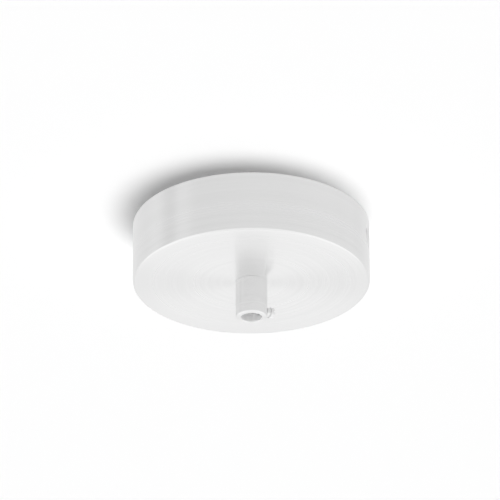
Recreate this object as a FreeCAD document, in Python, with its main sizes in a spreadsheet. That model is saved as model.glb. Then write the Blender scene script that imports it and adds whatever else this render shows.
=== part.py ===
"""Electrical ceiling rose: a brushed metal cup that hides the mains connection of a pendant lamp.

A drawn cup covers a pressed steel bracket that is screwed to the ceiling. Two raised countersunk
screws in dimples of the cup's wall hold it to the bracket's turned-down ears. A turned cord grip
hangs under the cup on a hollow threaded nipple, and a slotted screw in its side clamps the flex.
Inside, the bracket carries a three-pole terminal block on one tongue and an earth terminal on
the other.

Millimetres and degrees. The origin is on the ceiling plane, on the axis of the cup, and the rose
hangs down along -Z. The two side screws lie on the X axis, and the terminal block lies towards +Y.
"""

import FreeCAD, Part
import Sketcher
import math
import os

DOC = FreeCAD.newDocument("ceiling_rose")
SHEET = DOC.addObject("Spreadsheet::Sheet", "Sizes")
BODIES = []
POLES = ("live", "earth", "neutral")

# Driving dimensions: name, value, what it is.
SIZES = [
    ("cup_diameter", 100.0, "outside of the cup"),
    ("cup_height", 26.5, "ceiling to the cup's underside"),
    ("cup_wall", 1.0, "sheet that the cup is drawn from"),
    ("cup_corner", 0.6, "inside radius between wall and underside"),
    ("side_screw_drop", 8.8, "ceiling to the side screws' axis"),
    ("side_screw_thread", 4.0, "diameter"),
    ("side_screw_rim", 1.8, "how far the head stands out past the thread"),
    ("side_screw_dome", 0.8, "height of the raised head's dome"),
    ("side_screw_length", 10.0, "head's rim to the tip"),
    ("cross_width", 0.9, "one arm of the cross recess"),
    ("cross_reach", 4.0, "cross recess from end to end"),
    ("cross_depth", 1.9, "cross recess below the dome's top"),
    ("dimple_margin", 0.6, "mouth of the dimple past the screw's head, all round"),
    ("dimple_land", 0.4, "straight part of the hole in the dimple"),
    ("dimple_play", 0.2, "radial gap between thread and dimple"),
    ("head_gap", 0.1, "radial gap between a side screw's head and its dimple"),
    ("ear_gap", 0.1, "dimple's inner end to the bracket's ear"),
    ("grip_wall", 1.65, "cord grip's wall round the nipple"),
    ("grip_length", 16.5, "cord grip below the cup"),
    ("grip_ledge", 0.75, "ledge inside the grip that the nipple stops against"),
    ("grip_edge", 0.4, "chamfer on the grip's edges"),
    ("grip_screw_height", 4.4, "axis above the grip's lower end"),
    ("grip_screw_angle", 38.0, "from +X towards +Y"),
    ("grip_screw_thread", 4.0, "diameter"),
    ("grip_screw_rim", 0.4, "how far the head stands out past the thread"),
    ("grip_screw_head", 1.7, "height of the head"),
    ("grip_screw_stand", 1.8, "grip's side to the underside of the head"),
    ("grip_screw_inset", 0.05, "wall of the bore to the screw's tip"),
    ("slot_width", 0.8, "screwdriver slot of the slotted screws"),
    ("slot_depth", 0.9, "screwdriver slot of the slotted screws"),
    ("screw_edge", 0.3, "chamfer on screw tips and heads"),
    ("thread_play", 0.05, "radial gap of every thread, which is drawn plain"),
    ("nipple_diameter", 10.0, "outside of the hollow nipple"),
    ("nipple_wall", 0.95, "hollow nipple"),
    ("nipple_engagement", 7.0, "length of nipple inside the grip"),
    ("nipple_stand", 1.8, "nipple above the lock nut"),
    ("nipple_edge", 0.4, "chamfer on the nipple's ends"),
    ("nipple_play", 0.25, "radial gap round the nipple in the cup and washers"),
    ("washer_diameter", 20.0, "flat washer under the lock nut"),
    ("washer_thickness", 1.0, "flat washer"),
    ("toothed_diameter", 18.0, "toothed washer, over its teeth"),
    ("tooth_length", 1.8, "one tooth of the washer"),
    ("toothed_thickness", 0.7, "toothed washer"),
    ("tooth_count", 14, "teeth round the washer"),
    ("tooth_gap", 1.4, "width of the gap between two teeth"),
    ("nut_flats", 14.0, "lock nut across its flats"),
    ("nut_height", 3.0, "lock nut"),
    ("bush_overhang", 0.5, "edge bush's flange past the nipple"),
    ("bush_flange", 1.4, "height of the edge bush's flange"),
    ("bush_spigot", 4.0, "edge bush inside the nipple"),
    ("bush_wall", 0.45, "edge bush inside the nipple"),
    ("bush_play", 0.05, "radial gap between bush and nipple"),
    ("bush_lip", 0.6, "radius on the edge that the flex bends over"),
    ("sheet", 1.5, "steel that the bracket is pressed from"),
    ("strap_width", 16.0, "strap and ears"),
    ("ear_below", 5.2, "side screw's axis to the ear's lower end"),
    ("ear_corner", 4.0, "radius of the ear's lower corners"),
    ("bend", 1.0, "inside radius of the bracket's bends"),
    ("collar_wall", 1.25, "drawn collar round a thread of the bracket"),
    ("collar_length", 1.5, "drawn collar beyond the sheet"),
    ("hub_hole", 26.0, "diameter of the hole for the cable from the ceiling"),
    ("hub_band", 8.5, "round middle of the bracket, hole to edge"),
    ("fixing_slot_width", 5.2, "slot for a ceiling screw"),
    ("fixing_slot_length", 14.0, "slot from end to end"),
    ("fixing_slot_inset", 15.3, "face of the ear to the middle of the slot"),
    ("block_tongue_width", 20.0, "tongue that carries the terminal block"),
    ("earth_tongue_width", 12.0, "tongue that carries the earth terminal"),
    ("tongue_corner", 3.0, "radius of the tongues' corners"),
    ("joggle_gap", 0.3, "edge of the round middle to the earth tongue's step"),
    ("joggle_drop", 4.5, "how far the earth tongue steps down"),
    ("earth_end", 6.0, "earth screw to the tongue's end"),
    ("earth_thread", 4.0, "diameter"),
    ("earth_rim", 1.8, "how far the head stands out past the thread"),
    ("earth_head", 2.6, "height of the head"),
    ("earth_tip", 1.2, "earth screw beyond its collar"),
    ("clamp_side", 9.0, "side of the square clamp washer"),
    ("clamp_gap", 0.2, "earth tongue's step to the clamp washer"),
    ("clamp_thickness", 1.2, "clamp washer"),
    ("clamp_corner", 0.6, "radius of the clamp washer's corners"),
    ("spring_band", 1.55, "split spring washer, hole to edge"),
    ("spring_thickness", 1.0, "split spring washer"),
    ("spring_split", 0.8, "gap in the spring washer"),
    ("washer_play", 0.15, "radial gap between the earth screw and its washers"),
    ("block_inset", 11.0, "inside of the cup's wall to the end of the terminal block"),
    ("block_depth", 18.0, "terminal block along the wires"),
    ("block_roof", 1.5, "block above its barrels"),
    ("block_floor", 1.3, "block below its barrels"),
    ("block_partition", 0.75, "block between a barrel and a block screw"),
    ("pole_gap", 1.4, "gap between two poles"),
    ("pole_corner", 0.8, "radius of the poles' upright corners"),
    ("web_height", 3.0, "web between the poles"),
    ("post_wall", 0.9, "post round a block screw"),
    ("chimney_wall", 0.9, "tube round a terminal screw"),
    ("chimney_play", 0.2, "radial gap between a terminal screw's head and its tube"),
    ("chimney_recess", 0.9, "tube's end to the screw's head"),
    ("barrel_bore", 4.0, "diameter of the wire's way through a brass barrel"),
    ("barrel_wall", 1.3, "brass round the wire's way"),
    ("barrel_inset", 1.0, "end of the block to the end of a barrel"),
    ("barrel_play", 0.1, "radial gap between barrel and block"),
    ("terminal_spacing", 8.6, "between the two screws of a barrel"),
    ("terminal_thread", 2.6, "diameter"),
    ("terminal_rim", 0.6, "how far the head stands out past the thread"),
    ("terminal_head", 1.5, "height of the head"),
    ("terminal_travel", 3.2, "room that a terminal screw has to clamp a wire"),
    ("block_screw_thread", 3.0, "diameter"),
    ("block_screw_rim", 1.0, "how far the head stands out past the thread"),
    ("block_screw_head", 1.8, "height of the head"),
    ("block_screw_play", 0.1, "radial gap between block screw and block"),
    ("block_screw_inset", 0.2, "ceiling to the block screw's tip"),
]

for row, (alias, size, meaning) in enumerate(SIZES, start=1):
    SHEET.set(f"A{row}", alias)
    SHEET.set(f"B{row}", str(size))
    SHEET.set(f"C{row}", meaning)
    SHEET.setAlias(f"B{row}", alias)
DOC.recompute()

# Places that several pieces share, worked out from the driving dimensions.
CUP_RADIUS = "(Sizes.cup_diameter / 2)"
CUP_INSIDE = f"({CUP_RADIUS} - Sizes.cup_wall)"
FACE = "(-Sizes.cup_height)"
FLOOR = f"({FACE} + Sizes.cup_wall)"

SIDE_AXIS = "(-Sizes.side_screw_drop)"
SIDE_THREAD = "(Sizes.side_screw_thread / 2)"
SIDE_HEAD = f"({SIDE_THREAD} + Sizes.side_screw_rim)"
DIMPLE_MOUTH = f"({SIDE_HEAD} + Sizes.dimple_margin)"
DIMPLE_HOLE = f"({SIDE_THREAD} + Sizes.dimple_play)"
DIMPLE_NECK = f"({CUP_RADIUS} - {DIMPLE_MOUTH} + {DIMPLE_HOLE})"
DIMPLE_END = f"({DIMPLE_NECK} - Sizes.dimple_land)"
EAR_FACE = f"({DIMPLE_END} - Sizes.ear_gap)"

NIPPLE_RADIUS = "(Sizes.nipple_diameter / 2)"
NIPPLE_BORE = f"({NIPPLE_RADIUS} - Sizes.nipple_wall)"
NIPPLE_WAY = f"({NIPPLE_RADIUS} + Sizes.nipple_play)"
NIPPLE_THREAD = f"({NIPPLE_RADIUS} + Sizes.thread_play)"
NIPPLE_FOOT = f"({FACE} - Sizes.nipple_engagement)"
WASHER_TOP = f"({FLOOR} + Sizes.washer_thickness)"
TOOTHED_TOP = f"({WASHER_TOP} + Sizes.toothed_thickness)"
NUT_TOP = f"({TOOTHED_TOP} + Sizes.nut_height)"
NIPPLE_TOP = f"({NUT_TOP} + Sizes.nipple_stand)"

GRIP_RADIUS = f"({NIPPLE_THREAD} + Sizes.grip_wall)"
GRIP_BORE = f"({NIPPLE_RADIUS} - Sizes.grip_ledge)"
GRIP_END = f"({FACE} - Sizes.grip_length)"
GRIP_SCREW_AXIS = f"({GRIP_END} + Sizes.grip_screw_height)"

HUB_EDGE = "(Sizes.hub_hole / 2 + Sizes.hub_band)"
SLOT_PLACE = f"({EAR_FACE} - Sizes.fixing_slot_inset)"
STEP_START = f"({HUB_EDGE} + Sizes.joggle_gap)"
STEP_END = f"({STEP_START} + Sizes.joggle_drop)"
EARTH_PLACE = f"({STEP_END} + Sizes.clamp_gap + Sizes.clamp_side / 2)"
EARTH_FACE = "(-Sizes.joggle_drop - Sizes.sheet)"
EARTH_CLAMP = f"({EARTH_FACE} - Sizes.clamp_thickness)"
EARTH_SEAT = f"({EARTH_CLAMP} - Sizes.spring_thickness)"
EARTH_TIP = "(Sizes.collar_length + Sizes.earth_tip - Sizes.joggle_drop)"

BLOCK_END = f"({CUP_INSIDE} - Sizes.block_inset)"
BLOCK_PLACE = f"({BLOCK_END} - Sizes.block_depth / 2)"
BARREL_BORE = "(Sizes.barrel_bore / 2)"
BARREL_RADIUS = f"({BARREL_BORE} + Sizes.barrel_wall)"
BARREL_WAY = f"({BARREL_RADIUS} + Sizes.barrel_play)"
SCREW_WAY = "(Sizes.block_screw_thread / 2 + Sizes.block_screw_play)"
PITCH = f"(2 * ({BARREL_WAY} + Sizes.block_partition + {SCREW_WAY}))"
FIRST_POLE = f"({1 - len(POLES)} * {PITCH} / 2)"
BLOCK_TOP = "(-Sizes.sheet)"
BLOCK_HEIGHT = f"(Sizes.block_roof + 2 * {BARREL_WAY} + Sizes.block_floor)"
BLOCK_BASE = f"({BLOCK_TOP} - {BLOCK_HEIGHT})"
BARREL_AXIS = f"({BLOCK_TOP} - Sizes.block_roof - {BARREL_WAY})"
TERMINAL_TIP = f"({BARREL_AXIS} - {BARREL_BORE})"
TERMINAL_SEAT = f"({BARREL_AXIS} - {BARREL_RADIUS} - Sizes.terminal_travel)"
TERMINAL_WAY = "(Sizes.terminal_thread / 2 + Sizes.terminal_rim + Sizes.chimney_play)"
CHIMNEY_END = f"({TERMINAL_SEAT} - Sizes.terminal_head - Sizes.chimney_recess)"


def number(expression):
    """The present value of an expression over the sheet's cells."""
    return float(SHEET.evalExpression(expression))


def negated(expression):
    """The same expression with the other sign."""
    return expression[1:] if expression.startswith("-") else f"-{expression}"


def new_body(name, turn=None, place=None):
    """An empty body named after its piece, with its placement bound to the sheet."""
    body = DOC.addObject("PartDesign::Body", name)
    body.Label = name
    if turn is not None:
        upright = FreeCAD.Vector(0, 0, 1)
        body.Placement = FreeCAD.Placement(FreeCAD.Vector(), FreeCAD.Rotation(upright, number(turn)))
        body.setExpression("Placement.Rotation.Angle", turn)
    for axis, distance in zip("xyz", place or ()):
        body.setExpression(f"Placement.Base.{axis}", distance)
    BODIES.append(body)
    return body


def origin_part(body, role):
    """One of a body's own origin planes or axes."""
    return next(item for item in body.Origin.OriginFeatures if item.Role == role)


def new_sketch(body, name, plane, level="0", up="0"):
    """A sketch on an origin plane, moved along the plane's normal and up along the sketch's Y."""
    sketch = body.newObject("Sketcher::SketchObject", name)
    sketch.AttachmentSupport = (origin_part(body, plane), [""])
    sketch.MapMode = "FlatFace"
    sketch.setExpression("AttachmentOffset.Base.z", level)
    sketch.setExpression("AttachmentOffset.Base.y", up)
    return sketch


def bind_radius(sketch, item, radius):
    """Binds the radius of a circle or arc to an expression."""
    index = sketch.addConstraint(Sketcher.Constraint("Radius", item, number(radius)))
    sketch.setExpression(f"Constraints[{index}]", radius)


def pin_point(sketch, item, end, x, y):
    """Binds a point of the sketch to the expressions x and y."""
    for kind, axis, expression in (("DistanceX", -2, x), ("DistanceY", -1, y)):
        if expression == "0":
            sketch.addConstraint(Sketcher.Constraint("PointOnObject", item, end, axis))
        else:
            value = number(expression)
            index = sketch.addConstraint(Sketcher.Constraint(kind, -1, 1, item, end, value))
            sketch.setExpression(f"Constraints[{index}]", expression)


def outline(sketch, corners):
    """A closed outline of straight sides through corners, each a pair of expressions."""
    places = [FreeCAD.Vector(number(x), number(y), 0) for x, y in corners]
    count = len(places)
    for i in range(count):
        sketch.addGeometry(Part.LineSegment(places[i], places[(i + 1) % count]), False)
    for i in range(count):
        sketch.addConstraint(Sketcher.Constraint("Coincident", i, 2, (i + 1) % count, 1))
    for i, (x, y) in enumerate(corners):
        pin_point(sketch, i, 1, x, y)


def rectangle(sketch, x_low, x_high, y_low, y_high):
    """A rectangle between four expressions."""
    outline(sketch, [(x_low, y_low), (x_high, y_low), (x_high, y_high), (x_low, y_high)])


def circle(sketch, x, y, radius):
    """A full circle, with its middle and radius bound to expressions."""
    middle = FreeCAD.Vector(number(x), number(y), 0)
    shape = Part.Circle(middle, FreeCAD.Vector(0, 0, 1), number(radius))
    item = sketch.addGeometry(shape, False)
    pin_point(sketch, item, 3, x, y)
    bind_radius(sketch, item, radius)


def slot(sketch, middle, length, width):
    """A round-ended slot along the sketch's X axis."""
    radius, normal = number(width) / 2, FreeCAD.Vector(0, 0, 1)
    right_x = number(f"{middle} + ({length} - {width}) / 2")
    left_x = number(f"{middle} - ({length} - {width}) / 2")
    right_circle = Part.Circle(FreeCAD.Vector(right_x, 0, 0), normal, radius)
    left_circle = Part.Circle(FreeCAD.Vector(left_x, 0, 0), normal, radius)
    top = Part.LineSegment(FreeCAD.Vector(right_x, radius, 0), FreeCAD.Vector(left_x, radius, 0))
    low = Part.LineSegment(FreeCAD.Vector(left_x, -radius, 0), FreeCAD.Vector(right_x, -radius, 0))
    sides = [
        Part.ArcOfCircle(right_circle, -math.pi / 2, math.pi / 2),
        top,
        Part.ArcOfCircle(left_circle, math.pi / 2, 3 * math.pi / 2),
        low,
    ]
    right, top, left, low = [sketch.addGeometry(side, False) for side in sides]
    for first, second in ((right, top), (top, left), (left, low), (low, right)):
        sketch.addConstraint(Sketcher.Constraint("Tangent", first, 2, second, 1))
    pin_point(sketch, right, 3, f"{middle} + ({length} - {width}) / 2", "0")
    pin_point(sketch, left, 3, f"{middle} - ({length} - {width}) / 2", "0")
    bind_radius(sketch, right, f"{width} / 2")


def volume_of(body):
    """The body's volume so far."""
    DOC.recompute()
    return body.Shape.Volume if body.Tip else 0.0


def settle(feature, before, grows):
    """Recomputes, and stops if the feature didn't change the body's volume the right way."""
    DOC.recompute()
    change = feature.Shape.Volume - before
    if (change if grows else -change) < 0.001:
        raise RuntimeError(f"{feature.Label} changed the volume by {change:.4f}")
    return feature


def extrude(body, kind, sketch, length, reverse=False, middle=False):
    """A Pad or Pocket of a sketch over an expression's length."""
    before = volume_of(body)
    feature = body.newObject(f"PartDesign::{kind}", f"{sketch.Name}_{kind}")
    feature.Profile = sketch
    feature.setExpression("Length", length)
    feature.Reversed = reverse
    feature.Midplane = middle
    return settle(feature, before, kind == "Pad")


def spin(body, kind, sketch, axis):
    """A full Revolution or Groove of a sketch about one of its own axes."""
    before = volume_of(body)
    feature = body.newObject(f"PartDesign::{kind}", f"{sketch.Name}_{kind}")
    feature.Profile = sketch
    feature.ReferenceAxis = (sketch, [axis])
    feature.Angle = 360
    return settle(feature, before, kind == "Revolution")


def break_edges(body, kind, size, pick):
    """A Fillet or Chamfer on the edges of the body so far that pick accepts."""
    DOC.recompute()
    base = body.Tip
    names = [f"Edge{i}" for i, edge in enumerate(base.Shape.Edges, start=1) if pick(edge)]
    if not names:
        raise RuntimeError(f"{body.Label} has no edge for its {kind}")
    feature = body.newObject(f"PartDesign::{kind}", f"{body.Name}_{kind}")
    feature.Base = (base, names)
    feature.setExpression("Radius" if kind == "Fillet" else "Size", size)
    DOC.recompute()


def circle_edges(*wanted):
    """Picks the full circles about the Z axis whose radius and height match one pair of wanted."""
    pairs = [(number(radius), number(level)) for radius, level in wanted]

    def pick(edge):
        curve = edge.Curve
        return isinstance(curve, Part.Circle) and any(
            abs(curve.Radius - radius) < 1e-4 and abs(curve.Center.z - level) < 1e-4
            for radius, level in pairs
        )

    return pick


def straight_edges(axis, *wanted):
    """Picks edges along an axis (0, 1 or 2) whose other two coordinates match one pair of wanted."""
    pairs = [(number(first), number(second)) for first, second in wanted]
    first, second = [i for i in range(3) if i != axis]

    def pick(edge):
        box = edge.BoundBox
        low, high = (box.XMin, box.YMin, box.ZMin), (box.XMax, box.YMax, box.ZMax)
        if high[first] - low[first] > 1e-4 or high[second] - low[second] > 1e-4:
            return False
        return any(abs(low[first] - a) < 1e-4 and abs(low[second] - b) < 1e-4 for a, b in pairs)

    return pick


def repeat_across(body, name, features):
    """Mirrors features to the other side of the YZ plane."""
    mirror = body.newObject("PartDesign::Mirrored", name)
    mirror.Originals = features
    mirror.MirrorPlane = (origin_part(body, "YZ_Plane"), [""])
    body.Tip = mirror
    DOC.recompute()


def repeat_poles(body, name, features):
    """Repeats features of the first pole along X for the other poles."""
    pattern = body.newObject("PartDesign::LinearPattern", name)
    pattern.Originals = features
    pattern.Direction = (origin_part(body, "X_Axis"), [""])
    pattern.setExpression("Length", f"{len(POLES) - 1} * {PITCH}")
    pattern.Occurrences = len(POLES)
    body.Tip = pattern
    DOC.recompute()


def make_ring(name, outer, inner, bottom, thickness):
    """A flat ring about the Z axis."""
    body = new_body(name)
    face = new_sketch(body, f"{name}_face", "XY_Plane", level=bottom)
    circle(face, "0", "0", outer)
    circle(face, "0", "0", inner)
    extrude(body, "Pad", face, thickness)
    return body


def make_cup():
    """The drawn cup, open to the ceiling, with a dimple for each side screw."""
    body = new_body("canopy_cup")
    section = new_sketch(body, "cup_section", "XZ_Plane")
    corners = [
        (NIPPLE_WAY, FACE),
        (CUP_RADIUS, FACE),
        (CUP_RADIUS, "0"),
        (CUP_INSIDE, "0"),
        (CUP_INSIDE, FLOOR),
        (NIPPLE_WAY, FLOOR),
    ]
    outline(section, corners)
    spin(body, "Revolution", section, "V_Axis")
    break_edges(body, "Fillet", "Sizes.cup_corner + Sizes.cup_wall", circle_edges((CUP_RADIUS, FACE)))
    break_edges(body, "Fillet", "Sizes.cup_corner", circle_edges((CUP_INSIDE, FLOOR)))

    # A dimple is a 90 degree cone pressed inwards, and the sheet keeps its thickness round it.
    within = f"({CUP_RADIUS} - Sizes.cup_wall / 2)"
    outside = f"({DIMPLE_MOUTH} + Sizes.cup_wall * sqrt(2))"
    bump = new_sketch(body, "dimple_outside", "XZ_Plane", up=SIDE_AXIS)
    corners = [
        (DIMPLE_END, "0"),
        (within, "0"),
        (within, f"{outside} - ({CUP_RADIUS} - {within})"),
        (DIMPLE_END, f"{outside} - ({CUP_RADIUS} - {DIMPLE_END})"),
    ]
    outline(bump, corners)
    raised = spin(body, "Revolution", bump, "H_Axis")

    beyond = f"({CUP_RADIUS} + Sizes.cup_wall)"
    behind = f"({DIMPLE_END} - Sizes.cup_wall)"
    cone = new_sketch(body, "dimple_inside", "XZ_Plane", up=SIDE_AXIS)
    corners = [
        (behind, "0"),
        (beyond, "0"),
        (beyond, f"{DIMPLE_MOUTH} + Sizes.cup_wall"),
        (DIMPLE_NECK, DIMPLE_HOLE),
        (behind, DIMPLE_HOLE),
    ]
    outline(cone, corners)
    sunk = spin(body, "Groove", cone, "H_Axis")
    repeat_across(body, "dimples", [raised, sunk])


def make_grip():
    """The turned cord grip, with a tapped hole for its screw towards the body's own +X."""
    body = new_body("cord_grip", turn="Sizes.grip_screw_angle")
    section = new_sketch(body, "grip_section", "XZ_Plane")
    corners = [
        (GRIP_BORE, GRIP_END),
        (GRIP_RADIUS, GRIP_END),
        (GRIP_RADIUS, FACE),
        (NIPPLE_THREAD, FACE),
        (NIPPLE_THREAD, NIPPLE_FOOT),
        (GRIP_BORE, NIPPLE_FOOT),
    ]
    outline(section, corners)
    spin(body, "Revolution", section, "V_Axis")
    edges = circle_edges((GRIP_RADIUS, GRIP_END), (GRIP_BORE, GRIP_END), (GRIP_RADIUS, FACE))
    break_edges(body, "Chamfer", "Sizes.grip_edge", edges)
    tapped = new_sketch(body, "grip_screw_hole", "YZ_Plane", up=GRIP_SCREW_AXIS)
    circle(tapped, "0", "0", "Sizes.grip_screw_thread / 2 + Sizes.thread_play")
    extrude(body, "Pocket", tapped, f"2 * {GRIP_RADIUS}", reverse=True)


def make_grip_screw():
    """The slotted screw that clamps the flex, backed off until its tip is level with the bore."""
    body = new_body("cord_grip_screw", turn="Sizes.grip_screw_angle")
    radius = "Sizes.grip_screw_thread / 2"
    rim = f"({radius} + Sizes.grip_screw_rim)"
    tip = f"({GRIP_BORE} + Sizes.grip_screw_inset)"
    seat = f"({GRIP_RADIUS} + Sizes.grip_screw_stand)"
    end = f"({seat} + Sizes.grip_screw_head)"
    section = new_sketch(body, "grip_screw_section", "XZ_Plane", up=GRIP_SCREW_AXIS)
    corners = [
        (tip, "0"),
        (end, "0"),
        (end, f"{rim} - Sizes.screw_edge"),
        (f"{end} - Sizes.screw_edge", rim),
        (seat, rim),
        (seat, radius),
        (f"{tip} + Sizes.screw_edge", radius),
        (tip, f"{radius} - Sizes.screw_edge"),
    ]
    outline(section, corners)
    spin(body, "Revolution", section, "H_Axis")
    cut = new_sketch(body, "grip_screw_slot", "YZ_Plane", level=end, up=GRIP_SCREW_AXIS)
    half = "Sizes.slot_width / 2"
    rectangle(cut, f"-2 * {rim}", f"2 * {rim}", f"-{half}", half)
    extrude(body, "Pocket", cut, "Sizes.slot_depth")


def make_side_screw(name, turn):
    """A raised countersunk screw, along the body's own +X, that holds the cup to an ear."""
    body = new_body(name, turn=turn)
    rim = f"({CUP_RADIUS} - {DIMPLE_MOUTH} + {SIDE_HEAD} + Sizes.head_gap)"
    crown = f"({rim} + Sizes.side_screw_dome)"
    tip = f"({rim} - Sizes.side_screw_length)"
    section = new_sketch(body, f"{name}_section", "XZ_Plane", up=SIDE_AXIS)
    corners = [
        (tip, "0"),
        (rim, "0"),
        (rim, SIDE_HEAD),
        (f"{rim} - {SIDE_HEAD} + {SIDE_THREAD}", SIDE_THREAD),
        (f"{tip} + Sizes.screw_edge", SIDE_THREAD),
        (tip, f"{SIDE_THREAD} - Sizes.screw_edge"),
    ]
    outline(section, corners)
    spin(body, "Revolution", section, "H_Axis")
    add_dome(body, rim, crown)
    cross = new_sketch(body, f"{name}_cross", "YZ_Plane", level=crown, up=SIDE_AXIS)
    arm, reach = "Sizes.cross_width / 2", "Sizes.cross_reach / 2"
    quarter = [(reach, f"-{arm}"), (reach, arm), (arm, arm)]
    corners = []
    for _ in range(4):
        corners += quarter
        quarter = [(negated(y), x) for x, y in quarter]
    outline(cross, corners)
    extrude(body, "Pocket", cross, "Sizes.cross_depth")


def add_dome(body, rim, crown):
    """The raised end of a countersunk head, bounded by an arc through its rim and its crown."""
    flat, height, edge = number(rim), number(crown) - number(rim), number(SIDE_HEAD)
    radius = (edge**2 + height**2) / (2 * height)
    middle = FreeCAD.Vector(flat + height - radius, 0, 0)
    whole = Part.Circle(middle, FreeCAD.Vector(0, 0, 1), radius)
    foot, top = FreeCAD.Vector(flat, 0, 0), FreeCAD.Vector(flat + height, 0, 0)
    side = FreeCAD.Vector(flat, edge, 0)
    sketch = new_sketch(body, f"{body.Name}_dome", "XZ_Plane", up=SIDE_AXIS)
    base = sketch.addGeometry(Part.LineSegment(foot, top), False)
    arc = sketch.addGeometry(Part.ArcOfCircle(whole, 0, whole.parameter(side)), False)
    back = sketch.addGeometry(Part.LineSegment(side, foot), False)
    for first, second in ((base, arc), (arc, back), (back, base)):
        sketch.addConstraint(Sketcher.Constraint("Coincident", first, 2, second, 1))
    pin_point(sketch, base, 1, rim, "0")
    pin_point(sketch, base, 2, crown, "0")
    pin_point(sketch, back, 1, rim, SIDE_HEAD)
    sketch.addConstraint(Sketcher.Constraint("PointOnObject", arc, 3, -1))
    spin(body, "Revolution", sketch, "H_Axis")


def make_nipple():
    """The hollow threaded nipple that joins grip and cup, drawn without its thread."""
    body = new_body("threaded_nipple")
    section = new_sketch(body, "nipple_section", "XZ_Plane")
    corners = [
        (NIPPLE_BORE, NIPPLE_FOOT),
        (f"{NIPPLE_RADIUS} - Sizes.nipple_edge", NIPPLE_FOOT),
        (NIPPLE_RADIUS, f"{NIPPLE_FOOT} + Sizes.nipple_edge"),
        (NIPPLE_RADIUS, f"{NIPPLE_TOP} - Sizes.nipple_edge"),
        (f"{NIPPLE_RADIUS} - Sizes.nipple_edge", NIPPLE_TOP),
        (NIPPLE_BORE, NIPPLE_TOP),
    ]
    outline(section, corners)
    spin(body, "Revolution", section, "V_Axis")


def make_toothed_washer():
    """The shakeproof washer between flat washer and lock nut."""
    edge = "(Sizes.toothed_diameter / 2)"
    body = make_ring("toothed_washer", edge, NIPPLE_WAY, WASHER_TOP, "Sizes.toothed_thickness")
    gap = new_sketch(body, "tooth_gap_outline", "XY_Plane", level=TOOTHED_TOP)
    half = "Sizes.tooth_gap / 2"
    rectangle(gap, f"{edge} - Sizes.tooth_length", f"{edge} + Sizes.tooth_length", f"-{half}", half)
    cut = extrude(body, "Pocket", gap, "Sizes.toothed_thickness")
    pattern = body.newObject("PartDesign::PolarPattern", "teeth")
    pattern.Originals = [cut]
    pattern.Axis = (origin_part(body, "Z_Axis"), [""])
    pattern.Angle = 360
    pattern.setExpression("Occurrences", "Sizes.tooth_count")
    body.Tip = pattern


def make_lock_nut():
    """The thin hexagon nut, with its corners turned off at 30 degrees on both faces."""
    body = new_body("lock_nut")
    flat = "(Sizes.nut_flats / 2)"
    point = "(Sizes.nut_flats / sqrt(3))"
    face = new_sketch(body, "nut_face", "XY_Plane", level=TOOTHED_TOP)
    corners = [
        (point, "0"),
        (f"{point} / 2", flat),
        (f"-{point} / 2", flat),
        (f"-{point}", "0"),
        (f"-{point} / 2", f"-{flat}"),
        (f"{point} / 2", f"-{flat}"),
    ]
    outline(face, corners)
    circle(face, "0", "0", NIPPLE_THREAD)
    extrude(body, "Pad", face, "Sizes.nut_height")
    beyond = f"({point} + Sizes.cup_wall)"
    fall = f"({beyond} - {flat}) * tan(30 deg)"
    for name, level, inwards in (("upper", NUT_TOP, "-"), ("lower", TOOTHED_TOP, "+")):
        corner = new_sketch(body, f"nut_{name}_corners", "XZ_Plane")
        outline(corner, [(flat, level), (beyond, level), (beyond, f"{level} {inwards} {fall}")])
        spin(body, "Groove", corner, "V_Axis")


def make_edge_bush():
    """The plastic bush that keeps the flex off the nipple's upper edge."""
    body = new_body("edge_bush")
    spigot = f"({NIPPLE_BORE} - Sizes.bush_play)"
    bore = f"({spigot} - Sizes.bush_wall)"
    flange = f"({NIPPLE_RADIUS} + Sizes.bush_overhang)"
    top = f"({NIPPLE_TOP} + Sizes.bush_flange)"
    foot = f"({NIPPLE_TOP} - Sizes.bush_spigot)"
    section = new_sketch(body, "bush_section", "XZ_Plane")
    corners = [
        (bore, foot),
        (spigot, foot),
        (spigot, NIPPLE_TOP),
        (flange, NIPPLE_TOP),
        (flange, top),
        (bore, top),
    ]
    outline(section, corners)
    spin(body, "Revolution", section, "V_Axis")
    break_edges(body, "Fillet", "Sizes.bush_lip", circle_edges((bore, top), (flange, top)))


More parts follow.
